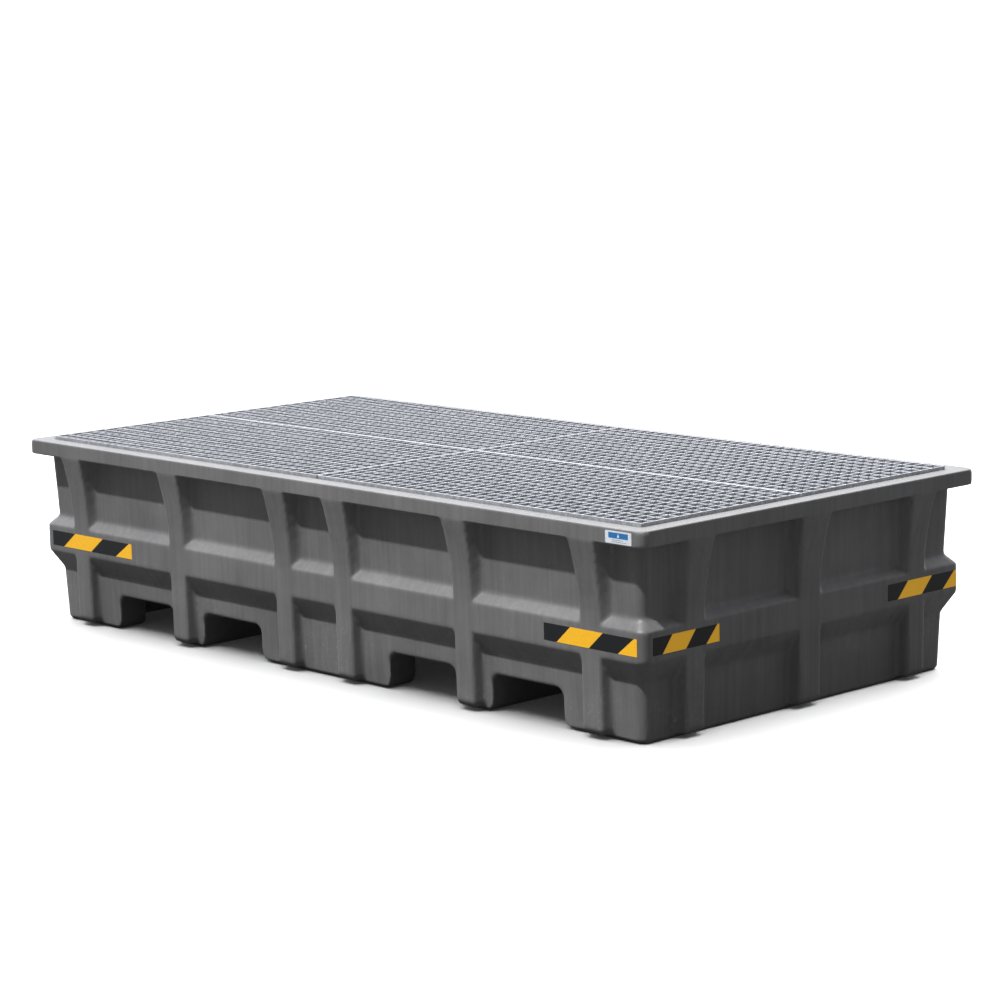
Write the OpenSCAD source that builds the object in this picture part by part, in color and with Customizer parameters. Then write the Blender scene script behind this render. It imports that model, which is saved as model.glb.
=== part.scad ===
// Spill containment pallet: a moulded polyethylene sump with fork pockets, galvanised supports
// and four lift-out gratings. Origin: centre of the footprint, on the ground. +X along the long
// side, +Y to the back, +Z up. All sizes in millimetres.

/* [Overall] */
// Length over the rim
length = 2540; // [2400:20:3050]
// Width over the rim
width = 1280; // [1060:20:1540]
// Height of the rim's flat top
height = 545; // [450:5:660]

/* [Shell] */
// Wall thickness of the moulding
wall = 9; // [7:0.5:11]
// Width of the rim's flat top
rim_w = 54; // [46:1:66]
// Height of the rim's upright face
rim_h = 43; // [36:1:52]
// How far the panels stand back from the rim
panel_in = 45; // [38:1:53]
// How far the belt stands back from the rim
belt_in = 29; // [24:1:36]
// Height of the belt's lower edge
belt_z = 213; // [178:1:230]
// Height of the belt's upright face
belt_h = 77; // [64:1:92]
// Height of the sloped sill above the belt
sill_h = 26; // [20:1:32]
// Height of the sloped face under the belt
under_h = 55; // [45:1:62]
// Radius of the upright corners
corner_r = 24; // [20:1:29]

/* [Ribs] */
// Width of a rib
rib_w = 66; // [55:1:80]
// Width of the short side's middle rib
mid_rib_w = 80; // [66:1:96]
// Widening of a rib at each side where it meets the rim
rib_flare = 12; // [8:1:15]
// Widening of a rib at each side from its front to the wall
rib_draft = 13; // [11:1:16]
// Distance of the centre ribs from the middle
centre_rib_x = 125; // [104:1:150]
// Distance of the corner ribs from the end of the rim
corner_rib_x = 210; // [175:1:250]
// Distance of the short side's outer ribs from the side of the rim
side_rib_y = 213; // [178:1:250]

/* [Fork pockets] */
// Width of a fork pocket
pocket_w = 260; // [217:1:270]
// Height of a fork pocket
pocket_h = 103; // [86:1:124]
// Radius of a pocket's upper corners
pocket_r = 26; // [20:1:32]
// Radius of the feet's lower edges beside the pockets
foot_r = 32; // [26:1:38]
// Width of the long skids between the pockets
skid_w = 138; // [115:1:165]
// Width of the centre feet
centre_foot_w = 540; // [450:10:600]
// Depth of the short feet along the long side
foot_d = 84; // [70:1:101]
// Depth of the feet along the short side
end_foot_d = 115; // [96:1:138]

/* [Gratings] */
// Height of a grating
grating_h = 30; // [25:1:36]
// How far a grating stands above the rim
grating_up = 8; // [6:0.5:10]
// Gap around each grating
grating_gap = 4; // [3:0.5:5]
// Aim for the spacing of the bearing bars
bearing_pitch = 33.3; // [27.8:0.1:40]
// Aim for the spacing of the cross bars
cross_pitch = 44.4; // [37:0.1:53.3]
// Thickness of a bearing bar
bearing_t = 3; // [2:0.5:4]
// Thickness of a cross bar
cross_t = 2; // [1.5:0.5:3]
// Height of a cross bar
cross_h = 10; // [8:1:12]
// Thickness of a border bar
border_t = 4; // [3:0.5:5]
// Width of the ledge that carries the gratings
ledge_w = 30; // [25:1:36]

/* [Supports] */
// Width of the beam under the middle seam
beam_w = 60; // [50:5:80]
// Height of the beam
beam_h = 80; // [65:5:100]
// Wall of the beam and of the posts
tube_t = 4; // [3:0.5:5]
// Width of a square post
post_w = 50; // [40:5:60]
// Width of a post's foot plate
plate_w = 70; // [60:5:84]
// Thickness of a post's head and foot plates
plate_t = 6; // [5:0.5:8]

/* [Markings] */
// Height of the hazard tapes
tape_h = 44; // [36:1:53]
// Thickness of tapes and label
tape_t = 0.5; // [0.4:0.1:0.6]
// Length of the longer tape on a long side
tape_long = 390; // [325:5:460]
// Length of the shorter tape on a long side
tape_mid = 322; // [268:2:386]
// Length of the longer tape on a short side
tape_side = 284; // [236:2:340]
// Length of the shorter tape on a short side
tape_short = 236; // [196:2:282]
// Distance of the longer tape on a long side from the belt's corner
tape_long_end = 37; // [30:1:45]
// Distance of the shorter tape on a long side from the belt's corner
tape_mid_end = 21; // [17:1:26]
// Distance of the longer tape on a short side from the belt's corner
tape_side_end = 18; // [15:1:22]
// Distance of the shorter tape on a short side from the belt's corner
tape_short_end = 34; // [28:1:41]
// Width of the label
label_w = 88; // [74:1:100]
// Height of the label
label_h = 31; // [26:1:36]
// Distance of the label from the end of the rim
label_end = 35; // [30:1:42]

/* [Hidden] */
POSITIONS = ["front_left", "front_right", "back_left", "back_right"];

// Every face of the tub is flat, so a round stretch is a short row of facets.
CORNER_STEPS = 4;
CURVE_STEPS = 6;
OVER = 1;

// Heights up the outside of the tub
rim_z = height - rim_h;
belt_top = belt_z + belt_h;
sill_top = belt_top + sill_h;
under_z = belt_z - under_h;
// The panels lean a little, so the tub leaves its mould
panel_low = panel_in + 8;
under_in = panel_in + 14;
foot_in = panel_in + 20;
ground_in = foot_in + 9;
heel_h = 10;
upper_draft = 2.4 * rib_draft;

// Heights inside the tub
seat_z = height + grating_up - grating_h;
floor_z = pocket_h + wall;
ledge_in = rim_w + ledge_w;
ledge_t = wall;
seat_r = 8;

// Feet and pockets along the long side
pocket_1 = centre_foot_w / 2 + pocket_w / 2;
skid_x = centre_foot_w / 2 + pocket_w + skid_w / 2;
pocket_2 = skid_x + skid_w / 2 + pocket_w / 2;
hollow_y = width / 2 - ground_in - foot_d;
end_foot_x = length / 2 - ground_in - end_foot_d;

// Each grating fills a quarter of the opening in the rim
grating_l = (length - 2 * rim_w - 3 * grating_gap) / 2;
grating_b = (width - 2 * rim_w - 3 * grating_gap) / 2;
bearing_n = round((grating_l - border_t) / bearing_pitch);
cross_n = round((grating_b - border_t) / cross_pitch);
bearing_step = (grating_l - border_t) / bearing_n;
cross_step = (grating_b - border_t) / cross_n;
notch_play = 0.05;

// The beam lies between the two end ledges, and the posts carry it
beam_play = 3;
beam_l = length - 2 * ledge_in - 2 * beam_play;
beam_z = seat_z - beam_h;
end_post_x = (end_foot_x + wall + length / 2 - ground_in - wall) / 2;

POLY = "DimGray";
ZINC = "Silver";

// ---- Shapes that the sub-parts share ----

// The outline of a rounded rectangle that stands back i from the rim, with corners of radius r,
// as points at height z
function ring(i, z, r) = [
  for (q = [0 : 3], k = [0 : CORNER_STEPS])
    let (
      a = 90 * q + 90 * k / CORNER_STEPS,
      sx = (q == 0 || q == 3) ? 1 : -1,
      sy = q < 2 ? 1 : -1
    )
    [sx * (length / 2 - i - r) + r * cos(a), sy * (width / 2 - i - r) + r * sin(a), z]];

// A rounded rectangle whose setback and corner radius change with height, from the ground up.
// Each row of the profile is [setback from the rim, height, corner radius].
module rounded_stack(profile) {
  m = 4 * (CORNER_STEPS + 1);
  n = len(profile);
  sides = [for (j = [0 : n - 2], k = [0 : m - 1])
    [j * m + k, (j + 1) * m + k, (j + 1) * m + (k + 1) % m, j * m + (k + 1) % m]];
  low = [for (k = [0 : m - 1]) k];
  high = [for (k = [m - 1 : -1 : 0]) (n - 1) * m + k];
  polyhedron([for (p = profile) each ring(p[0], p[1], p[2])], concat([low], sides, [high]));
}

// The curve by which a rib spreads out to the rim: 0 at the belt, 1 at the rim
function spread(t) = pow(t, 1.7);
function curve_at(t) = belt_top + (rim_z - belt_top) * t;

// A rib on the face y = 0, looking to -y, with the inside of the wall at y = back. shrink makes
// the smaller copy that hollows it out. Each row is [half the width of its front, y of its
// front, height, draft of its side], from the rib's toe up to the rim. Above the belt the sides
// lean more.
module rib(w, rim_y, back, shrink = 0) {
  half = w / 2 - shrink;
  front = rim_y + belt_in + shrink;
  top_z = rim_z - shrink;
  rows = concat(
    [[half - 2, front + 12, 12 + shrink, rib_draft], [half, front + 2, 24 + shrink, rib_draft],
      [half, front, belt_z, rib_draft]],
    [for (k = [0 : CURVE_STEPS])
      let (t = k / CURVE_STEPS)
      [half + rib_flare * spread(t), front - belt_in * spread(t), min(curve_at(t), top_z),
        upper_draft]]);
  n = len(rows);
  points = [for (r = rows) each [
    [-r[0] - r[3], back, r[2]], [-r[0], r[1], r[2]],
    [r[0], r[1], r[2]], [r[0] + r[3], back, r[2]]]];
  sides = [for (j = [0 : n - 2], k = [0 : 3])
    [j * 4 + k, (j + 1) * 4 + k, (j + 1) * 4 + (k + 1) % 4, j * 4 + (k + 1) % 4]];
  low = [0, 1, 2, 3];
  high = [for (k = [3 : -1 : 0]) (n - 1) * 4 + k];
  polyhedron(points, concat([low], sides, [high]));
}

module ribs(shrink = 0) {
  depth = foot_in + 2 + shrink;
  for (turn = [0, 180])
    rotate([0, 0, turn]) {
      for (x = [centre_rib_x, skid_x, length / 2 - corner_rib_x], s = [-1, 1])
        translate([s * x, 0, 0])
          rib(rib_w, -width / 2, depth - width / 2, shrink);
      rotate([0, 0, 90]) {
        rib(mid_rib_w, -length / 2, depth - length / 2, shrink);
        for (s = [-1, 1])
          translate([s * (width / 2 - side_rib_y), 0, 0])
            rib(rib_w, -length / 2, depth - length / 2, shrink);
      }
    }
}

// The tub's outer shape before the fork pockets are cut
module tub_outside() {
  rounded_stack([
    [ground_in, 0, corner_r - 8],
    [foot_in, heel_h, corner_r],
    [under_in, under_z, corner_r],
    [belt_in, belt_z, corner_r],
    [belt_in, belt_top, corner_r],
    [panel_low, sill_top, corner_r],
    [panel_in, rim_z, corner_r],
    [0, rim_z, corner_r],
    [0, height, corner_r]]);
}

// The hollow of the sump above its floor, with the seat for the gratings
module tub_hollow() {
  r = corner_r - wall;
  rounded_stack([
    [under_in + wall + 3, floor_z, r],
    [under_in + wall, under_z + wall / 2, r],
    [belt_in + wall, belt_z + wall / 2, r],
    [belt_in + wall, belt_top - wall / 2, r],
    [panel_low + wall, sill_top - wall / 2, r],
    [panel_in + wall, seat_z - ledge_t - ledge_w, r],
    [ledge_in, seat_z - ledge_t, r],
    [ledge_in, seat_z, r],
    [rim_w, seat_z, seat_r],
    [rim_w, height + OVER, seat_r]]);
}

// A fork pocket's outline, open at the ground: rounded at the top, and spread at the bottom by
// the rounded lower edges of the feet
module pocket_outline() {
  steps = [for (k = [0 : CORNER_STEPS]) 90 * k / CORNER_STEPS];
  half = concat(
    [for (a = steps) [pocket_w / 2 + foot_r * (1 - sin(a)), foot_r * (1 - cos(a))]],
    [for (a = steps)
      [pocket_w / 2 - pocket_r + pocket_r * cos(a), pocket_h - pocket_r + pocket_r * sin(a)]]);
  n = len(half);
  other = [for (k = [n - 1 : -1 : 0]) [-half[k][0], half[k][1]]];
  polygon(concat([[half[0][0], -OVER]], half, other, [[-half[0][0], -OVER]]));
}

// What is cut away under the tub: four pockets, and the room behind the short feet
module under_cuts() {
  for (x = [pocket_1, pocket_2], s = [-1, 1])
    translate([s * x, 0, 0])
      rotate([90, 0, 0])
        linear_extrude(2 * width, center = true)
          pocket_outline();
  translate([-pocket_1, -hollow_y, -OVER])
    cube([2 * pocket_1, 2 * hollow_y, pocket_h + OVER]);
  for (s = [-1, 1])
    translate([s * (pocket_2 + end_foot_x) / 2, 0, pocket_h / 2 - OVER / 2])
      cube([end_foot_x - pocket_2, 2 * hollow_y, pocket_h + OVER], center = true);
}

// One well from the sump down into a foot, between two x and two y. Its lower edge is cut by c0
// at the low x and by c1 at the high x, to leave room for the foot's rounded edge.
module well(x0, x1, y0, y1, c0, c1) {
  top = floor_z + OVER;
  translate([0, y1, 0])
    rotate([90, 0, 0])
      linear_extrude(y1 - y0)
        polygon([[x0, top], [x0, wall + c0], [x0 + c0, wall],
          [x1 - c1, wall], [x1, wall + c1], [x1, top]]);
}

// The hollows of the feet, open to the sump
module wells() {
  reach_y = width / 2 - ground_in - wall;
  reach_x = length / 2 - ground_in - wall;
  skid_half = skid_w / 2 - wall;
  centre_half = centre_foot_w / 2 - wall;
  inner_y = hollow_y + wall;
  cut = foot_r - wall;
  for (s = [0, 1])
    mirror([s, 0, 0]) {
      well(skid_x - skid_half, skid_x + skid_half, -reach_y, reach_y, cut, cut);
      well(end_foot_x + wall, reach_x, -reach_y, reach_y, 0, 0);
      for (t = [0, 1])
        mirror([0, t, 0])
          well(pocket_2 + pocket_w / 2 + wall, reach_x, inner_y, reach_y, cut, 0);
    }
  for (t = [0, 1])
    mirror([0, t, 0])
      well(-centre_half, centre_half, inner_y, reach_y, cut, cut);
}

// ---- Sub-parts ----

module sump_tub() {
  color(POLY)
    difference() {
      union() {
        tub_outside();
        ribs();
      }
      tub_hollow();
      ribs(wall);
      under_cuts();
      wells();
    }
}

module support_beam() {
  color(ZINC)
    translate([0, 0, beam_z + beam_h / 2])
      difference() {
        cube([beam_l, beam_w, beam_h], center = true);
        cube([beam_l + OVER, beam_w - 2 * tube_t, beam_h - 2 * tube_t], center = true);
      }
}

// A square post on a foot plate, under a head plate that carries the beam
module post(x) {
  tube_h = beam_z - wall - 2 * plate_t;
  color(ZINC)
    translate([x, 0, wall]) {
      translate([0, 0, plate_t / 2])
        cube([plate_w, 2 * plate_w, plate_t], center = true);
      translate([0, 0, plate_t + tube_h / 2])
        difference() {
          cube([post_w, post_w, tube_h], center = true);
          cube([post_w - 2 * tube_t, post_w - 2 * tube_t, tube_h + OVER], center = true);
        }
      translate([0, 0, plate_t * 1.5 + tube_h])
        cube([plate_w, plate_w, plate_t], center = true);
    }
}

module post_left_end() { post(-end_post_x); }
module post_left() { post(-skid_x); }
module post_right() { post(skid_x); }
module post_right_end() { post(end_post_x); }

// A strip of tape l long on the belt's front face, with its left end at x
module belt_tape(x, l, half) {
  color("Gold")
    translate([x, belt_in - half - tape_t, belt_z + (belt_h - tape_h) / 2])
      cube([l, tape_t, tape_h]);
}

tape_x = length / 2 - belt_in;
tape_y = width / 2 - belt_in;
module tape_front_left() { belt_tape(tape_long_end - tape_x, tape_long, width / 2); }
module tape_front_right() {
  belt_tape(tape_x - tape_mid_end - tape_mid, tape_mid, width / 2);
}
module tape_back_right() { rotate([0, 0, 180]) tape_front_left(); }
module tape_back_left() { rotate([0, 0, 180]) tape_front_right(); }
module tape_right_front() {
  rotate([0, 0, 90]) belt_tape(tape_short_end - tape_y, tape_short, length / 2);
}
module tape_right_back() {
  rotate([0, 0, 90]) belt_tape(tape_y - tape_side_end - tape_side, tape_side, length / 2);
}
module tape_left_back() { rotate([0, 0, 180]) tape_right_front(); }
module tape_left_front() { rotate([0, 0, 180]) tape_right_back(); }

module rim_label() {
  low = rim_z + (rim_h - label_h) / 2;
  color("White")
    translate([length / 2 - label_end - label_w, -width / 2 - tape_t, low])
      cube([label_w, tape_t, label_h]);
}

// Places one grating's bars: x and y from the grating's own corner, z from its underside.
// place is a name from POSITIONS.
module at_grating(place) {
  i = search([place], POSITIONS)[0];
  col = i % 2;
  row = floor(i / 2);
  translate([(col - 1) * grating_l + (col - 0.5) * grating_gap,
      (row - 1) * grating_b + (row - 0.5) * grating_gap, seat_z])
    children();
}

module border(place) {
  color(ZINC)
    at_grating(place) {
      for (y = [0, grating_b - border_t])
        translate([0, y, 0])
          cube([grating_l, border_t, grating_h]);
      for (x = [0, grating_l - border_t])
        translate([x, border_t, 0])
          cube([border_t, grating_b - 2 * border_t, grating_h]);
    }
}

// The side of a bearing bar, with a notch in its top edge for each cross bar
module bearing_outline() {
  slot = cross_t / 2 + notch_play;
  low = grating_h - cross_h;
  notches = [for (k = [1 : cross_n - 1])
    for (q = [[-slot, grating_h], [-slot, low], [slot, low], [slot, grating_h]])
      [border_t / 2 + k * cross_step + q[0], q[1]]];
  polygon(concat([[border_t, 0], [border_t, grating_h]], notches,
    [[grating_b - border_t, grating_h], [grating_b - border_t, 0]]));
}

module bearing_bars(place) {
  color(ZINC)
    at_grating(place)
      for (k = [1 : bearing_n - 1])
        translate([border_t / 2 + k * bearing_step, 0, 0])
          rotate([90, 0, 90])
            linear_extrude(bearing_t, center = true)
              bearing_outline();
}

module cross_bars(place) {
  color(ZINC)
    at_grating(place)
      for (k = [1 : cross_n - 1])
        translate([border_t, border_t / 2 + k * cross_step - cross_t / 2, grating_h - cross_h])
          cube([grating_l - 2 * border_t, cross_t, cross_h]);
}

module front_left_border() { border("front_left"); }
module front_left_bearing_bars() { bearing_bars("front_left"); }
module front_left_cross_bars() { cross_bars("front_left"); }
module front_right_border() { border("front_right"); }
module front_right_bearing_bars() { bearing_bars("front_right"); }
module front_right_cross_bars() { cross_bars("front_right"); }
module back_left_border() { border("back_left"); }
module back_left_bearing_bars() { bearing_bars("back_left"); }
module back_left_cross_bars() { cross_bars("back_left"); }
module back_right_border() { border("back_right"); }
module back_right_bearing_bars() { bearing_bars("back_right"); }
module back_right_cross_bars() { cross_bars("back_right"); }

sump_tub();
support_beam();
post_left_end();
post_left();
post_right();
post_right_end();
tape_front_left();
tape_front_right();
tape_back_left();
tape_back_right();
tape_left_front();
tape_left_back();
tape_right_front();
tape_right_back();
rim_label();
front_left_border();
front_left_bearing_bars();
front_left_cross_bars();
front_right_border();
front_right_bearing_bars();
front_right_cross_bars();
back_left_border();
back_left_bearing_bars();
back_left_cross_bars();
back_right_border();
back_right_bearing_bars();
back_right_cross_bars();
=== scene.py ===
# %% [markdown]
# # A spill containment pallet
#
# The real thing is a sump, a large tub moulded in grey polyethylene, with fork pockets
# under it and four galvanised gratings on top. Drums stand on the gratings and the sump catches
# what leaks. This lesson builds its looks around an engineering model that is already made: the
# frame holds one exact solid for every part, and says which moving body each part belongs to.
# The frame could be shown as it is, but every edge on it is knife sharp. So most solids are
# replaced here by a finished piece, and each piece rides on the same body as the solid did.

# %% Load the frame
import math

import bmesh
import bpy
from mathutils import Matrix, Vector


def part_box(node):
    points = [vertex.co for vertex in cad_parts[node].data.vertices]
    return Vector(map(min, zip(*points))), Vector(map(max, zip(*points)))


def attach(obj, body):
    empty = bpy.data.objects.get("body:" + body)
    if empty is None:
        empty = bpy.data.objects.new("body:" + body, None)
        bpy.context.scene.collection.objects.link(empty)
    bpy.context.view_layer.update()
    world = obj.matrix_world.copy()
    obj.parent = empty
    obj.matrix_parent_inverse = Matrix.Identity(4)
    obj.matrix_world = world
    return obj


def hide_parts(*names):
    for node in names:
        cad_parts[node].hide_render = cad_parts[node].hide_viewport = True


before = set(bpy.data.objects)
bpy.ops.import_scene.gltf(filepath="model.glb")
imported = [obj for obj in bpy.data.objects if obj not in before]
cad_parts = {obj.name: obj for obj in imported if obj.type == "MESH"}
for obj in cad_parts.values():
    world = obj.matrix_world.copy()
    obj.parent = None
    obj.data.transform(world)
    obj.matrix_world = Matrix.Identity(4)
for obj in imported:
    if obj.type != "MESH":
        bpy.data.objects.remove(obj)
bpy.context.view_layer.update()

MM = 0.001

# %% [markdown]
# ## Small helpers
#
# Everything in this file is made of three acts: turn a colour that a person can read into one
# that the renderer can add up, put a node in a tree, and put a mesh in the scene. A helper for
# each keeps the later cells short. The node helper is the same for materials and for
# geometry, because both kinds of tree are nodes, settings and links.


# %% Colours, nodes and pieces
def linear(hex_text):
    """An sRGB colour such as "6e6e6e" as the linear red, green, blue and alpha of a socket."""
    channels = [int(hex_text[i:i + 2], 16) / 255 for i in (0, 2, 4)]
    return [c / 12.92 if c <= 0.04045 else ((c + 0.055) / 1.055) ** 2.4 for c in channels] + [1.0]


def add(tree, kind, inputs=None, **settings):
    """Adds a node: settings are its properties, and inputs are values or other nodes' sockets."""
    made = tree.nodes.new(kind)
    for name, value in settings.items():
        setattr(made, name, value)
    for key, value in (inputs or {}).items():
        if isinstance(value, bpy.types.NodeSocket):
            tree.links.new(value, made.inputs[key])
        else:
            made.inputs[key].default_value = value
    return made


def piece(name, mesh, materials, body, replaced):
    """Puts a finished mesh in the scene as a piece that rides on a body for some solids."""
    made = bpy.data.objects.new(name, mesh)
    bpy.context.scene.collection.objects.link(made)
    for finish in materials:
        if finish.name not in made.data.materials:
            made.data.materials.append(finish)
    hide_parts(*replaced)
    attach(made, body)
    triangles = sum(len(p.vertices) - 2 for p in mesh.polygons)
    print(f"{name}: {triangles} triangles on {body}, for {', '.join(replaced)}")
    return made


def plain_mesh(source, name):
    """What an object's modifiers make of it, as a mesh of its own."""
    graph = bpy.context.evaluated_depsgraph_get()
    mesh = bpy.data.meshes.new_from_object(source.evaluated_get(graph), depsgraph=graph)
    mesh.name = name
    return mesh


def scratch(name, mesh):
    """An object that only carries modifiers while a piece is being made."""
    made = bpy.data.objects.new(name, mesh)
    bpy.context.scene.collection.objects.link(made)
    return made


# %% [markdown]
# ## The camera
#
# The product stands a little below eye level and is seen from its front right corner through a
# long lens, so the near corner isn't swollen. A camera could be aimed with a constraint, but its
# place is worked out here from four plain facts, the direction, the distance, the lens and
# the tilt of the horizon, because then each can be read and changed.

# %% Camera
CAMERA_AZIMUTH = math.radians(46.83)
CAMERA_ELEVATION = math.radians(9.28)
CAMERA_ROLL = math.radians(-1.29)
CAMERA_DISTANCE = 8.656
CAMERA_LENS = 109.3
AIM_RIGHT = 0.0577
AIM_UP = 0.4045

back = Vector((math.sin(CAMERA_AZIMUTH) * math.cos(CAMERA_ELEVATION),
               -math.cos(CAMERA_AZIMUTH) * math.cos(CAMERA_ELEVATION),
               math.sin(CAMERA_ELEVATION)))
level = Vector((math.cos(CAMERA_AZIMUTH), math.sin(CAMERA_AZIMUTH), 0))
upright = back.cross(level)
right = level * math.cos(CAMERA_ROLL) + upright * math.sin(CAMERA_ROLL)
up = upright * math.cos(CAMERA_ROLL) - level * math.sin(CAMERA_ROLL)

camera_data = bpy.data.cameras.new("studio_camera")
camera_data.lens = CAMERA_LENS
camera_data.sensor_width = 36
camera_data.clip_end = 200
camera = bpy.data.objects.new("studio_camera", camera_data)
camera.location = back * CAMERA_DISTANCE + right * AIM_RIGHT + up * AIM_UP
turn = camera.matrix_world.to_3x3()
turn.col[0], turn.col[1], turn.col[2] = right, up, back
camera.rotation_euler = turn.to_euler()
bpy.context.scene.collection.objects.link(camera)
bpy.context.scene.camera = camera
print("camera at", [round(v, 3) for v in camera.location])

# %% [markdown]
# ## The floor and the light
#
# A product of this size is shot on a white sweep under one hard key light and a wide soft box
# overhead. The key stands high in front and a little to the left, which is why the rim throws a
# straight shadow on the panels below it and the ribs' right sides are dark. It skips the floor,
# which has a wide soft light of its own, because a white sweep shows only a faint pool of shade
# under the product. Behind the product the backdrop glows, and that glow is what the rim's top
# and the gratings reflect at a low angle. The paper is darker to every ray that doesn't come
# from the eye, so it looks white and still leaves the undersides dark. In a studio, cards would
# keep the key off the paper; linking each light to what it lights is simpler. The standard view
# transform keeps the greys as they are chosen.

# %% Floor, lights and room
FLOOR_HALF = 30.0
KEY_POWER = 4.7
KEY_ELEVATION = math.radians(64)
KEY_TURN = math.radians(-10)
KEY_SOFTNESS = math.radians(2.0)
SOFT_BOX_POWER = 124.0
SWEEP_POWER = 5.0
SWEEP_SOFTNESS = math.radians(70)
SOFT_BOX_SIZE = (5.0, 4.0)
SOFT_BOX_PLACE = (-0.4, 0.6, 4.2)
ROOM_DIM = 0.20
BACKDROP_GLOW = 2.6
BACKDROP_WAY = (-0.73, 0.68, 0.0)
ROOM_WHITE = 1.05
BACKDROP_EDGE = 0.8
PAPER_BLOTCH = 0.7
PAPER_GLOW = 0.012

scene = bpy.context.scene
scene.view_settings.view_transform = "Standard"
scene.view_settings.look = "None"

sweep = bpy.data.materials.new("matt_white_sweep")
sweep.use_nodes = True
tree = sweep.node_tree
tree.nodes.clear()
place = add(tree, "ShaderNodeTexCoord")
tone = add(tree, "ShaderNodeTexNoise", {"Vector": place.outputs["Object"],
                                        "Scale": PAPER_BLOTCH})
shade = add(tree, "ShaderNodeMix", {"Factor": tone.outputs["Fac"], "A": linear("dcdcdc"),
                                    "B": linear("e2e2e2")}, data_type="RGBA")
seen = add(tree, "ShaderNodeLightPath")
shade = add(tree, "ShaderNodeMix", {"Factor": seen.outputs["Is Camera Ray"],
                                    "A": linear("525252"), "B": shade.outputs["Result"]},
            data_type="RGBA")
paper = add(tree, "ShaderNodeBsdfPrincipled", {"Base Color": shade.outputs["Result"],
                                               "Roughness": 0.8, "Specular IOR Level": 0.2,
                                               "Emission Color": linear("ffffff"),
                                               "Emission Strength": PAPER_GLOW})
add(tree, "ShaderNodeOutputMaterial", {"Surface": paper.outputs["BSDF"]})

floor_mesh = bpy.data.meshes.new("studio_floor")
floor_mesh.from_pydata([(x * FLOOR_HALF, y * FLOOR_HALF, 0)
                        for x, y in ((-1, -1), (1, -1), (1, 1), (-1, 1))], [], [(0, 1, 2, 3)])
floor_mesh.materials.append(sweep)
floor = bpy.data.objects.new("studio_floor", floor_mesh)
scene.collection.objects.link(floor)

key_data = bpy.data.lights.new("key_light", "SUN")
key_data.energy = KEY_POWER
key_data.angle = KEY_SOFTNESS
key = bpy.data.objects.new("key_light", key_data)
key.rotation_euler = (math.pi / 2 - KEY_ELEVATION, 0, KEY_TURN)
scene.collection.objects.link(key)

sweep_data = bpy.data.lights.new("sweep_light", "SUN")
sweep_data.energy = SWEEP_POWER
sweep_data.angle = SWEEP_SOFTNESS
sweep_light = bpy.data.objects.new("sweep_light", sweep_data)
scene.collection.objects.link(sweep_light)
for light, state in ((key, "EXCLUDE"), (sweep_light, "INCLUDE")):
    lit = bpy.data.collections.new(light.name + "_floor_" + state.lower())
    lit.objects.link(floor)
    light.light_linking.receiver_collection = lit
    lit.collection_objects[0].light_linking.link_state = state

box_data = bpy.data.lights.new("soft_box", "AREA")
box_data.shape = "RECTANGLE"
box_data.size, box_data.size_y = SOFT_BOX_SIZE
box_data.energy = SOFT_BOX_POWER
soft_box = bpy.data.objects.new("soft_box", box_data)
soft_box.location = SOFT_BOX_PLACE
scene.collection.objects.link(soft_box)

room = bpy.data.worlds.new("white_room")
room.use_nodes = True
tree = room.node_tree
tree.nodes.clear()
sky = add(tree, "ShaderNodeTexCoord")
towards = add(tree, "ShaderNodeVectorMath", {0: sky.outputs["Generated"], 1: BACKDROP_WAY},
              operation="DOT_PRODUCT")
glow = add(tree, "ShaderNodeMapRange", {"Value": towards.outputs["Value"], "From Min": 0.0,
                                        "From Max": BACKDROP_EDGE, "To Min": ROOM_DIM,
                                        "To Max": BACKDROP_GLOW}, interpolation_type="SMOOTHSTEP")
around = add(tree, "ShaderNodeBackground", {"Color": linear("fafbff"),
                                            "Strength": glow.outputs[0]})
white = add(tree, "ShaderNodeBackground", {"Color": linear("ffffff"), "Strength": ROOM_WHITE})
ray = add(tree, "ShaderNodeLightPath")
seen = add(tree, "ShaderNodeMixShader", {"Fac": ray.outputs["Is Camera Ray"],
                                         1: around.outputs[0], 2: white.outputs[0]})
add(tree, "ShaderNodeOutputWorld", {"Surface": seen.outputs[0]})
scene.world = room

# %% [markdown]
# ## Rotomoulded polyethylene
#
# The tub is turned in an oven with powder inside a steel mould. The powder melts against the
# mould and copies it, so the face is matt with a fine sand-like grain, gently wavy where the
# wall cooled unevenly, and never quite one grey: faint upright streaks break it up. Forks and
# floors scrape the lower parts pale.
# An image of the real plastic could be wrapped round the tub, but noise in the tub's own
# coordinates never stretches and has no seams. Polyethylene reflects like most plastics, with an
# index of refraction of 1.54.


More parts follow.
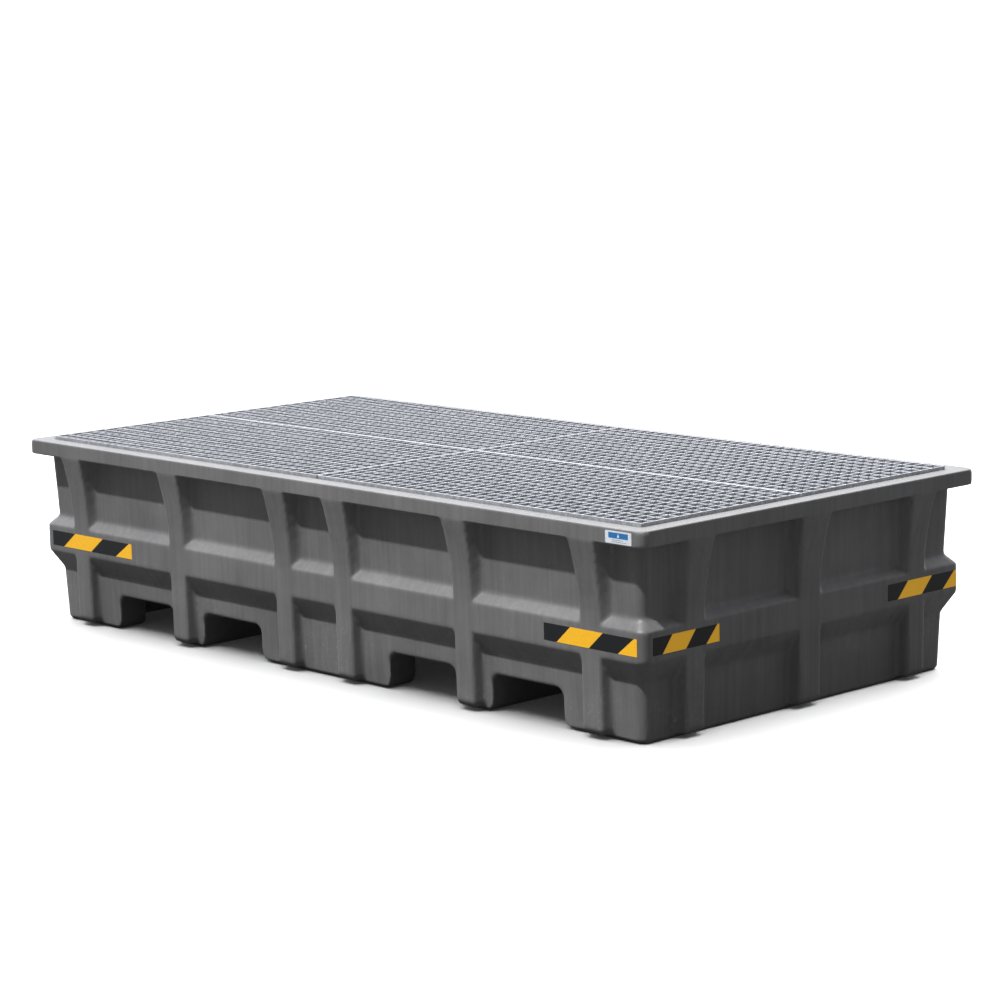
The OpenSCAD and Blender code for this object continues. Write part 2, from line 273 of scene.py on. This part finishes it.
# %% Polyethylene
def polyethylene():
    """Rotomoulded polyethylene: a matt grain that scatters light, and paler, rubbed edges."""
    GRAIN_MM = 5.0        # the mould's grit is about 0.3 mm: drawn coarse, or it would not show
    WAVE_MM = 70.0        # how far apart the cooling waves lie
    CLOUD_MM = 320.0      # pigment that mixed unevenly
    SPECK_MM = 9.0        # pale powder specks and scuffs
    PATCH_MM = 160.0      # how far apart the scuffed patches lie
    EDGE_MM = 10.0        # how wide a rubbed edge is
    STREAKS = (70.0, 70.0, 2.5)     # in a metre: streaks 14 mm wide and 400 mm tall
    DRAGS = (48.0, 48.0, 3.0)       # in a metre: drag marks 21 mm wide and 330 mm tall
    SCUFFED_TO = 0.24     # height in metres above which few scuffs reach
    finish = bpy.data.materials.new("rotomoulded_polyethylene")
    finish.use_nodes = True
    tree = finish.node_tree
    tree.nodes.clear()
    place = add(tree, "ShaderNodeTexCoord").outputs["Object"]

    clouds = add(tree, "ShaderNodeTexNoise", {"Vector": place, "Scale": 1000 / CLOUD_MM,
                                              "Detail": 4.0, "Roughness": 0.6})
    streak_place = add(tree, "ShaderNodeMapping", {"Vector": place, "Scale": STREAKS})
    streaks = add(tree, "ShaderNodeTexNoise", {"Vector": streak_place.outputs[0], "Scale": 1.0,
                                               "Detail": 3.0, "Roughness": 0.6})
    mottle = add(tree, "ShaderNodeMix", {"Factor": 0.40, "A": clouds.outputs["Fac"],
                                         "B": streaks.outputs["Fac"]})
    mottle = add(tree, "ShaderNodeMapRange", {"Value": mottle.outputs[0], "From Min": 0.34,
                                              "From Max": 0.66})
    base = add(tree, "ShaderNodeMix", {"Factor": mottle.outputs[0], "A": linear("5f5f60"),
                                       "B": linear("757575")}, data_type="RGBA")

    # Rubbed patches: only the peaks of a mid-sized noise, and mostly near the ground
    specks = add(tree, "ShaderNodeTexNoise", {"Vector": place, "Scale": 1000 / SPECK_MM,
                                              "Detail": 3.0, "Roughness": 0.7})
    patch = add(tree, "ShaderNodeTexNoise", {"Vector": place, "Scale": 1000 / PATCH_MM,
                                             "Detail": 3.0})
    heights = add(tree, "ShaderNodeSeparateXYZ", {"Vector": place})
    low = add(tree, "ShaderNodeMapRange", {"Value": heights.outputs["Z"],
                                           "From Min": SCUFFED_TO, "From Max": 0.0,
                                           "To Min": 0.35, "To Max": 1.0})
    rubbed = add(tree, "ShaderNodeMapRange", {"Value": specks.outputs["Fac"], "From Min": 0.54,
                                              "From Max": 0.72})
    spots = add(tree, "ShaderNodeMapRange", {"Value": patch.outputs["Fac"], "From Min": 0.45,
                                             "From Max": 0.70})
    spots = add(tree, "ShaderNodeMath", {0: spots.outputs[0], 1: low.outputs[0]},
                operation="MULTIPLY")
    rubbed = add(tree, "ShaderNodeMath", {0: rubbed.outputs[0], 1: spots.outputs[0]},
                 operation="MULTIPLY")

    # Upright drag marks from loading and from rain, drawn as noise squeezed sideways
    drag_place = add(tree, "ShaderNodeMapping", {"Vector": place, "Scale": DRAGS})
    drag = add(tree, "ShaderNodeTexNoise", {"Vector": drag_place.outputs[0], "Scale": 1.0,
                                            "Detail": 4.0, "Roughness": 0.65})
    drag = add(tree, "ShaderNodeMapRange", {"Value": drag.outputs["Fac"], "From Min": 0.42,
                                            "From Max": 0.78})
    drag = add(tree, "ShaderNodeMath", {0: drag.outputs[0], 1: low.outputs[0]},
               operation="MULTIPLY")

    # Edges: where the bent normal of a wide bevel differs from the real one, the plastic is rubbed
    bent = add(tree, "ShaderNodeBevel", {"Radius": EDGE_MM * MM}, samples=4)
    flat = add(tree, "ShaderNodeNewGeometry")
    same = add(tree, "ShaderNodeVectorMath", {0: bent.outputs[0], 1: flat.outputs["Normal"]},
               operation="DOT_PRODUCT")
    edge = add(tree, "ShaderNodeMapRange", {"Value": same.outputs["Value"], "From Min": 0.995,
                                            "From Max": 0.90})
    edge = add(tree, "ShaderNodeMath", {0: edge.outputs[0], 1: patch.outputs["Fac"]},
               operation="MULTIPLY")

    wear = add(tree, "ShaderNodeMath", {0: rubbed.outputs[0], 1: edge.outputs[0]},
               operation="ADD", use_clamp=True)
    wear = add(tree, "ShaderNodeMath", {0: drag.outputs[0], 1: 0.16, 2: wear.outputs[0]},
               operation="MULTIPLY_ADD", use_clamp=True)
    colour = add(tree, "ShaderNodeMix", {"Factor": wear.outputs[0], "A": base.outputs["Result"],
                                         "B": linear("8e8e8f")}, data_type="RGBA")
    rough = add(tree, "ShaderNodeMapRange", {"Value": clouds.outputs["Fac"], "To Min": 0.44,
                                             "To Max": 0.58})
    rough = add(tree, "ShaderNodeMath", {0: wear.outputs[0], 1: 0.14, 2: rough.outputs[0]},
                operation="MULTIPLY_ADD")

    waves = add(tree, "ShaderNodeTexNoise", {"Vector": place, "Scale": 1000 / WAVE_MM,
                                             "Detail": 2.0})
    grain = add(tree, "ShaderNodeTexNoise", {"Vector": place, "Scale": 1000 / GRAIN_MM,
                                             "Detail": 4.0, "Roughness": 0.7})
    wavy = add(tree, "ShaderNodeBump", {"Height": waves.outputs["Fac"], "Strength": 0.35,
                                        "Distance": 0.0035})
    grainy = add(tree, "ShaderNodeBump", {"Height": grain.outputs["Fac"], "Strength": 0.35,
                                          "Distance": 0.0010, "Normal": wavy.outputs[0]})
    plastic = add(tree, "ShaderNodeBsdfPrincipled", {
        "Base Color": colour.outputs["Result"], "Roughness": rough.outputs[0], "IOR": 1.54,
        "Normal": grainy.outputs[0]})
    add(tree, "ShaderNodeOutputMaterial", {"Surface": plastic.outputs["BSDF"]})
    return finish


grey_polyethylene = polyethylene()
print("finish:", grey_polyethylene.name)

# %% [markdown]
# ## Hot-dip galvanised steel
#
# Grating, beam and posts are dipped in molten zinc, which freezes into crystals, the spangle.
# Each crystal is a slightly different grey and scatters light at its own angle, so the metal
# glitters softly without being shiny. Cells of a Voronoi pattern are the natural way to draw
# crystals, and one more noise dulls the zinc in patches where it has begun to weather. Zinc is
# a metal, so its colour is in its reflection, and its index of refraction stays as it is. A
# dull skin scatters part of the light, so it is set short of a full metal.


# %% Galvanised steel
def galvanised(name, bright_hex, dull_hex, spangle_mm, rough_low, rough_high):
    """Galvanised steel: crystals of zinc, each with its own grey and its own gloss."""
    PATINA_MM = 90.0      # weathered patches
    RUN_MM = 7.0          # ripples where the zinc ran off
    finish = bpy.data.materials.new(name)
    finish.use_nodes = True
    tree = finish.node_tree
    tree.nodes.clear()
    place = add(tree, "ShaderNodeTexCoord").outputs["Object"]
    crystals = add(tree, "ShaderNodeTexVoronoi", {"Vector": place, "Scale": 1000 / spangle_mm,
                                                  "Randomness": 1.0})
    grey = add(tree, "ShaderNodeSeparateColor", {"Color": crystals.outputs["Color"]})
    patina = add(tree, "ShaderNodeTexNoise", {"Vector": place, "Scale": 1000 / PATINA_MM,
                                              "Detail": 5.0, "Roughness": 0.65})
    mixed = add(tree, "ShaderNodeMath", {0: grey.outputs["Red"], 1: patina.outputs["Fac"]},
                operation="MULTIPLY")
    mixed = add(tree, "ShaderNodeMapRange", {"Value": mixed.outputs[0], "From Min": 0.05,
                                             "From Max": 0.50})
    colour = add(tree, "ShaderNodeMix", {"Factor": mixed.outputs[0], "A": linear(bright_hex),
                                         "B": linear(dull_hex)}, data_type="RGBA")
    rough = add(tree, "ShaderNodeMapRange", {"Value": grey.outputs["Green"],
                                             "To Min": rough_low, "To Max": rough_high})
    ripple = add(tree, "ShaderNodeTexNoise", {"Vector": place, "Scale": 1000 / RUN_MM,
                                              "Detail": 3.0})
    runs = add(tree, "ShaderNodeBump", {"Height": ripple.outputs["Fac"], "Strength": 0.25,
                                        "Distance": 0.0008})
    zinc = add(tree, "ShaderNodeBsdfPrincipled", {
        "Base Color": colour.outputs["Result"], "Metallic": 0.6, "Roughness": rough.outputs[0],
        "Normal": runs.outputs[0]})
    add(tree, "ShaderNodeOutputMaterial", {"Surface": zinc.outputs["BSDF"]})
    return finish


grating_zinc = galvanised("hot_dip_galvanised_grating", "c2c4c9", "a4a7ac", 9.0, 0.44, 0.60)
support_zinc = galvanised("hot_dip_galvanised_tube", "b9bcc0", "84888c", 14.0, 0.38, 0.62)
print("finishes:", grating_zinc.name, support_zinc.name)

# %% [markdown]
# ## Marking film and label film
#
# The hazard tape is cast film on the belt, glossy when new and scratched by handling. The
# yellow's faint glow is painted light: emission that keeps it bright on the shaded side. The
# label is white vinyl. Both take the faint waviness of the plastic under them. A printed picture
# could carry the stripes, but then they would need a picture file, so here the stripes are real
# faces of the mesh, and the film needs only a colour, a gloss and its scratches.


# %% Films
def film(name, clean_hex, worn_hex, roughness, coat, glow=0.0):
    """Cast film: smooth and glossy, with fine scratches that scatter light and grey the colour."""
    SCRATCH_MM = 14.0     # distance between the scratch marks along the tape
    RIPPLE_MM = 11.0      # waviness of the plastic under the film
    finish = bpy.data.materials.new(name)
    finish.use_nodes = True
    tree = finish.node_tree
    tree.nodes.clear()
    place = add(tree, "ShaderNodeTexCoord").outputs["Object"]
    long_way = add(tree, "ShaderNodeMapping", {"Vector": place, "Rotation": (0.3, 0.4, 0.2),
                                               "Scale": (1.0, 1.0, 6.0)})
    marks = add(tree, "ShaderNodeTexNoise", {"Vector": long_way.outputs[0],
                                             "Scale": 1000 / SCRATCH_MM, "Detail": 6.0,
                                             "Roughness": 0.75})
    worn = add(tree, "ShaderNodeMapRange", {"Value": marks.outputs["Fac"], "From Min": 0.50,
                                            "From Max": 0.74})
    colour = add(tree, "ShaderNodeMix", {"Factor": worn.outputs[0], "A": linear(clean_hex),
                                         "B": linear(worn_hex)}, data_type="RGBA")
    rough = add(tree, "ShaderNodeMapRange", {"Value": marks.outputs["Fac"],
                                             "To Min": roughness - 0.08,
                                             "To Max": roughness + 0.16})
    under = add(tree, "ShaderNodeTexNoise", {"Vector": place, "Scale": 1000 / RIPPLE_MM,
                                             "Detail": 2.0})
    bumps = add(tree, "ShaderNodeBump", {"Height": under.outputs["Fac"], "Strength": 0.2,
                                         "Distance": 0.0006})
    # The emission set by glow is painted light: it keeps the film's colour bright in the shade
    vinyl = add(tree, "ShaderNodeBsdfPrincipled", {
        "Base Color": colour.outputs["Result"], "Roughness": rough.outputs[0], "IOR": 1.49,
        "Coat Weight": coat, "Emission Color": linear(clean_hex), "Emission Strength": glow,
        "Normal": bumps.outputs[0]})
    add(tree, "ShaderNodeOutputMaterial", {"Surface": vinyl.outputs["BSDF"]})
    return finish


# The yellow's glow is painted light: emission that lifts it on the shaded side
yellow_film = film("hazard_film_yellow", "e4ab1a", "c69328", 0.42, 0.08, glow=0.30)
black_film = film("hazard_film_black", "0b0d10", "17191d", 0.48, 0.0)
white_vinyl = film("label_vinyl_white", "dfe4ea", "ccd2d9", 0.40, 0.10)
blue_print = film("label_print_blue", "1f6fb2", "3b82bd", 0.40, 0.10)
grey_print = film("label_print_grey", "8d99a6", "a3adb8", 0.45, 0.10)
print("finishes:", [m.name for m in (yellow_film, black_film, white_vinyl, blue_print)])

# %% [markdown]
# ## The tub
#
# Melted powder can't fill a sharp corner, so a rotomoulded part is soft wherever two faces meet:
# outer edges turn through 6 to 10 mm, and the corners where a rib leaves a panel
# are filled in. A bevel on chosen edges is the usual way to soften a model, but here curved ribs
# run into leaning panels and leave many short edges that a bevel trips over. So the solid is
# melted instead: it is rebuilt from small cubes, relaxed, which rounds outer and inner corners
# alike as the real process does, and thinned out again where it is flat. Weighting
# the normals by area then keeps the flat faces flat to the eye.

# %% Melt the tub's corners
VOXEL = 5.0 * MM
RELAX_STEPS = 3
TUB_TRIANGLES = 180_000
FACE_WEIGHT = 60

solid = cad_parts["sump_tub"].data.copy()
work = bmesh.new()
work.from_mesh(solid)
bmesh.ops.remove_doubles(work, verts=work.verts, dist=0.02 * MM)
open_edges = sum(1 for e in work.edges if not e.is_manifold)
work.to_mesh(solid)
work.free()
print("tub solid:", len(solid.polygons), "triangles,", open_edges, "open edges")

melting = scratch("tub_melting", solid)
cubes = melting.modifiers.new("small_cubes", "REMESH")
cubes.mode = "VOXEL"
cubes.voxel_size = VOXEL
fine = plain_mesh(melting, "tub_fine")
bpy.data.objects.remove(melting)

thinning = scratch("tub_thinning", fine)
relax = thinning.modifiers.new("relax", "SMOOTH")
relax.factor = 0.5
relax.iterations = RELAX_STEPS
thin = thinning.modifiers.new("thin", "DECIMATE")
thin.ratio = min(1.0, TUB_TRIANGLES / (2 * len(fine.polygons)))
tub_mesh = plain_mesh(thinning, "tub_shell")
bpy.data.objects.remove(thinning)
tub_mesh.materials.clear()     # the solid's own material comes along with its mesh
tub_mesh.shade_smooth()
tub = piece("tub_shell", tub_mesh, [grey_polyethylene], "tub", ["sump_tub"])
even = tub.modifiers.new("flat_faces_stay_flat", "WEIGHTED_NORMAL")
even.weight = FACE_WEIGHT

# %% [markdown]
# ## The gratings
#
# Each grating is pressed together: bearing bars on edge are notched from above, thin cross bars
# are pressed into the notches, and a border of flat bar is welded round them. The mesh is 33 by 44
# mm, so there are nearly two hundred bars. That is a rule with a few numbers in it, which is what
# Geometry Nodes are for: one profile, one line of points for each direction, and a bar on every
# point. Where two bars cross, the zinc bath leaves a small fillet of zinc in the corners, so
# a bead sits on every crossing too. The same tree serves the four gratings.


# %% A tree for pressed gratings
def group_input(tree, name, kind):
    """A named input of a geometry tree. Its identifier is what a modifier is set by."""
    return tree.interface.new_socket(name=name, in_out="INPUT", socket_type=kind).identifier


grating_tree = bpy.data.node_groups.new("pressed_grating", "GeometryNodeTree")
grating_tree.interface.new_socket(name="Geometry", in_out="OUTPUT",
                                  socket_type="NodeSocketGeometry")
GRATING_INPUTS = {
    name: group_input(grating_tree, name, kind)
    for name, kind in (
        ("Corner", "NodeSocketVector"), ("Length", "NodeSocketFloat"),
        ("Width", "NodeSocketFloat"), ("Height", "NodeSocketFloat"),
        ("Bearing Bars", "NodeSocketInt"), ("Cross Bars", "NodeSocketInt"),
        ("Bearing Thickness", "NodeSocketFloat"), ("Cross Thickness", "NodeSocketFloat"),
        ("Cross Height", "NodeSocketFloat"), ("Rounding", "NodeSocketFloat"),
        ("Bead Size", "NodeSocketFloat"), ("Finish", "NodeSocketMaterial"))}
given = grating_tree.nodes.new("NodeGroupInput").outputs


def math_node(kind, a, b):
    """One sum in the grating's tree."""
    return add(grating_tree, "ShaderNodeMath", {0: a, 1: b}, operation=kind).outputs[0]


def vector_of(x=0.0, y=0.0, z=0.0):
    """A vector from three sums."""
    return add(grating_tree, "ShaderNodeCombineXYZ", {"X": x, "Y": y, "Z": z}).outputs[0]


def bar_of(length, thickness, height):
    """A rounded flat bar on edge along x, as a profile that is swept along a line."""
    profile = add(grating_tree, "GeometryNodeCurvePrimitiveQuadrilateral",
                  {"Width": thickness, "Height": height}, mode="RECTANGLE")
    soft = add(grating_tree, "GeometryNodeFilletCurve",
               {"Curve": profile.outputs[0], "Radius": given["Rounding"], "Count": 1,
                "Limit Radius": True}, mode="POLY")
    path = add(grating_tree, "GeometryNodeCurvePrimitiveLine",
               {"Start": vector_of(math_node("MULTIPLY", length, -0.5)),
                "End": vector_of(math_node("MULTIPLY", length, 0.5))})
    return add(grating_tree, "GeometryNodeCurveToMesh",
               {"Curve": path.outputs[0], "Profile Curve": soft.outputs[0],
                "Fill Caps": True}).outputs[0]


def row_of(count, start, step, shape, turn):
    """Copies of a shape on a straight row of points."""
    points = add(grating_tree, "GeometryNodeMeshLine",
                 {"Count": count, "Start Location": start, "Offset": step})
    return add(grating_tree, "GeometryNodeInstanceOnPoints",
               {"Points": points.outputs[0], "Instance": shape, "Rotation": turn}).outputs[0]


# Steps between the bars: n bars leave n + 1 equal spaces
step_x = math_node("DIVIDE", given["Length"], math_node("ADD", given["Bearing Bars"], 1.0))
step_y = math_node("DIVIDE", given["Width"], math_node("ADD", given["Cross Bars"], 1.0))
half_x = math_node("MULTIPLY", given["Length"], 0.5)
half_y = math_node("MULTIPLY", given["Width"], 0.5)
half_z = math_node("MULTIPLY", given["Height"], 0.5)
CROSS_DROP = 0.4 * MM
cross_z = math_node("SUBTRACT", math_node("SUBTRACT", given["Height"], CROSS_DROP),
                    math_node("MULTIPLY", given["Cross Height"], 0.5))
bearing_row = row_of(given["Bearing Bars"], vector_of(step_x, half_y, half_z), vector_of(step_x),
                     bar_of(given["Width"], given["Bearing Thickness"], given["Height"]),
                     (0, 0, math.pi / 2))
cross_row = row_of(given["Cross Bars"], vector_of(half_x, step_y, cross_z), vector_of(0.0, step_y),
                   bar_of(given["Length"], given["Cross Thickness"], given["Cross Height"]),
                   (0, 0, 0))

# Zinc beads: a row of beads along one bearing bar, and a copy of that row on every bar
bead = add(grating_tree, "GeometryNodeMeshIcoSphere", {"Radius": given["Bead Size"],
                                                       "Subdivisions": 1})
flat_bead = add(grating_tree, "GeometryNodeTransform",
                {"Geometry": bead.outputs[0], "Scale": (1.0, 1.25, 0.62)})
bead_z = math_node("SUBTRACT", given["Height"], math_node("MULTIPLY", given["Bead Size"], 0.9))
bead_row = row_of(given["Cross Bars"], vector_of(0.0, step_y, bead_z), vector_of(0.0, step_y),
                  flat_bead.outputs[0], (0, 0, 0))
bead_field = row_of(given["Bearing Bars"], vector_of(step_x), vector_of(step_x), bead_row,
                    (0, 0, 0))

joined = grating_tree.nodes.new("GeometryNodeJoinGeometry")
for part in (bearing_row, cross_row, bead_field):
    grating_tree.links.new(part, joined.inputs[0])
moved = add(grating_tree, "GeometryNodeTransform", {"Geometry": joined.outputs[0],
                                                    "Translation": given["Corner"]})
real = add(grating_tree, "GeometryNodeRealizeInstances", {"Geometry": moved.outputs[0]})
coated = add(grating_tree, "GeometryNodeSetMaterial", {"Geometry": real.outputs[0],
                                                       "Material": given["Finish"]})
result = grating_tree.nodes.new("NodeGroupOutput")
grating_tree.links.new(coated.outputs[0], result.inputs[0])
print("grating tree:", len(grating_tree.nodes), "nodes,", len(GRATING_INPUTS), "inputs")

# %% [markdown]
# ## Four gratings from one tree
#
# The frame says where each grating's border is, and how thick it is. The bars' count follows
# from the mesh, so the tree gets whole numbers. The result is turned into a plain mesh, because
# an exported model keeps no modifiers and no instances. The border itself is a welded frame of
# four flat bars: it is built as one closed ring and its long edges are broken, as a rolled
# flat bar's are.

# %% Gratings and borders
MESH_X, MESH_Y = 33.3 * MM, 44.4 * MM
BORDER = 4.0 * MM
BEARING, CROSS = 3.0 * MM, 2.0 * MM
CROSS_HEIGHT = 10.0 * MM
BEAD = 3.6 * MM
ROUNDING = 0.7 * MM
BREAK = 0.8 * MM


def border_mesh(name, low, high):
    """A closed ring of flat bar round a grating, with its edges broken."""
    ring = bmesh.new()
    corners = []
    for inset in (0.0, BORDER):
        for z in (low.z, high.z):
            corners.append([ring.verts.new((x, y, z)) for x, y in (
                (low.x + inset, low.y + inset), (high.x - inset, low.y + inset),
                (high.x - inset, high.y - inset), (low.x + inset, high.y - inset))])
    outer_low, outer_high, inner_low, inner_high = corners
    for k in range(4):
        n = (k + 1) % 4
        ring.faces.new((outer_low[k], outer_low[n], outer_high[n], outer_high[k]))
        ring.faces.new((inner_low[n], inner_low[k], inner_high[k], inner_high[n]))
        ring.faces.new((outer_high[k], outer_high[n], inner_high[n], inner_high[k]))
        ring.faces.new((outer_low[n], outer_low[k], inner_low[k], inner_low[n]))
    bmesh.ops.bevel(ring, geom=ring.edges[:], offset=BREAK, segments=2, profile=0.5,
                    affect="EDGES")
    bmesh.ops.recalc_face_normals(ring, faces=ring.faces)
    mesh = bpy.data.meshes.new(name)
    ring.to_mesh(mesh)
    ring.free()
    return mesh


for spot in ("front_left", "front_right", "back_left", "back_right"):
    body = "grating_" + spot
    low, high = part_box(spot + "_border")
    inner_x, inner_y = high.x - low.x - 2 * BORDER, high.y - low.y - 2 * BORDER
    seed = scratch(body + "_seed", bpy.data.meshes.new(body + "_seed"))
    nodes = seed.modifiers.new("pressed_grating", "NODES")
    nodes.node_group = grating_tree
    for name, value in {
            "Corner": (low.x + BORDER, low.y + BORDER, low.z), "Length": inner_x,
            "Width": inner_y, "Height": high.z - low.z,
            "Bearing Bars": round((inner_x + BORDER) / MESH_X) - 1,
            "Cross Bars": round((inner_y + BORDER) / MESH_Y) - 1,
            "Bearing Thickness": BEARING, "Cross Thickness": CROSS,
            "Cross Height": CROSS_HEIGHT, "Rounding": ROUNDING, "Bead Size": BEAD,
            "Finish": grating_zinc}.items():
        nodes[GRATING_INPUTS[name]] = value
    bars = plain_mesh(seed, body + "_bars")
    bars.shade_flat()
    seed.modifiers.clear()
    bpy.data.objects.remove(seed)
    piece(body + "_bars", bars, [grating_zinc], body,
          [spot + "_bearing_bars", spot + "_cross_bars"])
    piece(body + "_border", border_mesh(body + "_border", low, high), [grating_zinc], body,
          [spot + "_border"])

# %% [markdown]
# ## Hazard tape
#
# Eight short strips of black and yellow film mark the corners of the belt at fork height. The
# stripes lean to the right, and each strip is cut from a longer roll, so it ends in
# the middle of a stripe. The bands could be painted by a material, but cutting them into the mesh
# gives a crisp edge at any distance. One list of cuts, as shares of a strip's length, serves all
# eight strips.

# %% Tapes
TOP_CUTS = (0.0, 0.29, 0.64, 0.97, 1.0)
BOTTOM_CUTS = (0.0, 0.14, 0.49, 0.80, 1.0)


def tape_mesh(name, low, high, outward):
    """A strip of film in slanted bands, seen from the side that outward points to."""
    along = Vector((-outward.y, outward.x, 0))
    across = high - low
    length = abs(across.dot(along))
    thick = abs(across.dot(outward))
    middle = (low + high) / 2
    strip = bmesh.new()
    rows = []
    for depth in (0.5, -0.5):
        for cuts, z in ((BOTTOM_CUTS, low.z), (TOP_CUTS, high.z)):
            row = []
            for cut in cuts:
                spot = middle + along * (cut - 0.5) * length + outward * depth * thick
                row.append(strip.verts.new((spot.x, spot.y, z)))
            rows.append(row)
    face_low, face_high, back_low, back_high = rows
    bands = len(TOP_CUTS) - 1
    for k in range(bands):
        quads = ((face_low[k], face_low[k + 1], face_high[k + 1], face_high[k]),
                 (back_low[k + 1], back_low[k], back_high[k], back_high[k + 1]),
                 (face_high[k], face_high[k + 1], back_high[k + 1], back_high[k]),
                 (face_low[k + 1], face_low[k], back_low[k], back_low[k + 1]))
        for quad in quads:
            strip.faces.new(quad).material_index = k % 2
    strip.faces.new((face_low[0], face_high[0], back_high[0], back_low[0]))
    strip.faces.new((face_high[bands], face_low[bands], back_low[bands], back_high[bands]))
    strip.faces.ensure_lookup_table()
    strip.faces[len(strip.faces) - 1].material_index = (bands - 1) % 2
    bmesh.ops.recalc_face_normals(strip, faces=strip.faces)
    mesh = bpy.data.meshes.new(name)
    strip.to_mesh(mesh)
    strip.free()
    return mesh


OUTWARD = {"front": Vector((0, -1, 0)), "back": Vector((0, 1, 0)),
           "left": Vector((-1, 0, 0)), "right": Vector((1, 0, 0))}
for side, other in (("front", "left"), ("front", "right"), ("back", "left"), ("back", "right"),
                    ("left", "front"), ("left", "back"), ("right", "front"), ("right", "back")):
    node = f"tape_{side}_{other}"
    low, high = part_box(node)
    piece(node + "_film", tape_mesh(node + "_film", low, high, OUTWARD[side]),
          [black_film, yellow_film], "tub", [node])

# %% [markdown]
# ## The label
#
# A small vinyl label sits on the rim near the front right corner. It has rounded corners, a
# blue field with a drop in it, which says that this thing holds spills, and grey rules where
# lines to fill in would be. It carries no words. The field, the drop and the rules lie on the
# vinyl as thin layers, each a little nearer to the eye than the last.


# %% Label
def outline_slab(target, points, near, far, index):
    """Adds a closed slab to a bmesh: an outline in x and z, between two depths in y."""
    front = [target.verts.new((x, near, z)) for x, z in points]
    rear = [target.verts.new((x, far, z)) for x, z in points]
    faces = [target.faces.new(front), target.faces.new(rear[::-1])]
    for k in range(len(points)):
        n = (k + 1) % len(points)
        faces.append(target.faces.new((front[n], front[k], rear[k], rear[n])))
    for face in faces:
        face.material_index = index


def rounded_outline(x0, x1, z0, z1, r, steps=5):
    """The outline of a rounded rectangle, anticlockwise from its lower right corner."""
    points = []
    for cx, cz, start in ((x1 - r, z0 + r, -90), (x1 - r, z1 - r, 0),
                          (x0 + r, z1 - r, 90), (x0 + r, z0 + r, 180)):
        for k in range(steps + 1):
            a = math.radians(start + 90 * k / steps)
            points.append((cx + r * math.cos(a), cz + r * math.sin(a)))
    return points


def drop_outline(cx, cz, size, steps=16):
    """The outline of a drop: a round belly that runs up to a point."""
    points = []
    for k in range(steps + 1):
        a = math.radians(-230 + 280 * k / steps)
        points.append((cx + size * math.cos(a), cz + size * math.sin(a)))
    points.append((cx, cz + 2.1 * size))
    return points


FIELD_SIDE, FIELD_TOP = 11.0 * MM, 4.0 * MM       # white left round the blue field
FIELD_SHARE = 0.42                                # where the field starts, up the label
DROP_SIZE, DROP_UP = 3.2 * MM, 5.0 * MM
RULE_LOW, RULE_STEP, RULE_THICK = 3.5 * MM, 4.5 * MM, 1.6 * MM
RULE_LEFT, RULE_RIGHT, RULE_SHORTER = 22.0 * MM, 16.0 * MM, 12.0 * MM

low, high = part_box("rim_label")
label = bmesh.new()
LAYER = (high.y - low.y) / 4
near = [low.y + k * LAYER for k in range(4)]
field_z = low.z + FIELD_SHARE * (high.z - low.z)
outline_slab(label, rounded_outline(low.x, high.x, low.z, high.z, 2.5 * MM), near[2], high.y, 0)
outline_slab(label, rounded_outline(low.x + FIELD_SIDE, high.x - FIELD_SIDE, field_z,
                                    high.z - FIELD_TOP, 1.5 * MM), near[1], near[2], 1)
outline_slab(label, drop_outline((low.x + high.x) / 2, field_z + DROP_UP, DROP_SIZE),
             near[0], near[1], 0)
for line in range(2):
    z = low.z + RULE_LOW + RULE_STEP * line
    right_end = high.x - RULE_RIGHT - RULE_SHORTER * line
    outline_slab(label, rounded_outline(low.x + RULE_LEFT, right_end, z, z + RULE_THICK,
                                        0.6 * MM), near[1], near[2], 2)
bmesh.ops.recalc_face_normals(label, faces=label.faces)
label_mesh = bpy.data.meshes.new("rim_label_film")
label.to_mesh(label_mesh)
label.free()
piece("rim_label_film", label_mesh, [white_vinyl, blue_print, grey_print], "tub",
      ["rim_label"])

# %% [markdown]
# ## The supports under the gratings
#
# A rectangular tube lies under the middle seam, on four square posts that stand on the sump's
# floor. Their solids already have the right shape, and sharp corners are nearly hidden there,
# so the solids are kept and only get the galvanised finish.

# %% Supports
for name in ("support_beam", "post_left_end", "post_left", "post_right", "post_right_end"):
    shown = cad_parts[name]
    shown.data.materials.clear()
    shown.data.materials.append(support_zinc)
    print(name, "is finished in", support_zinc.name)
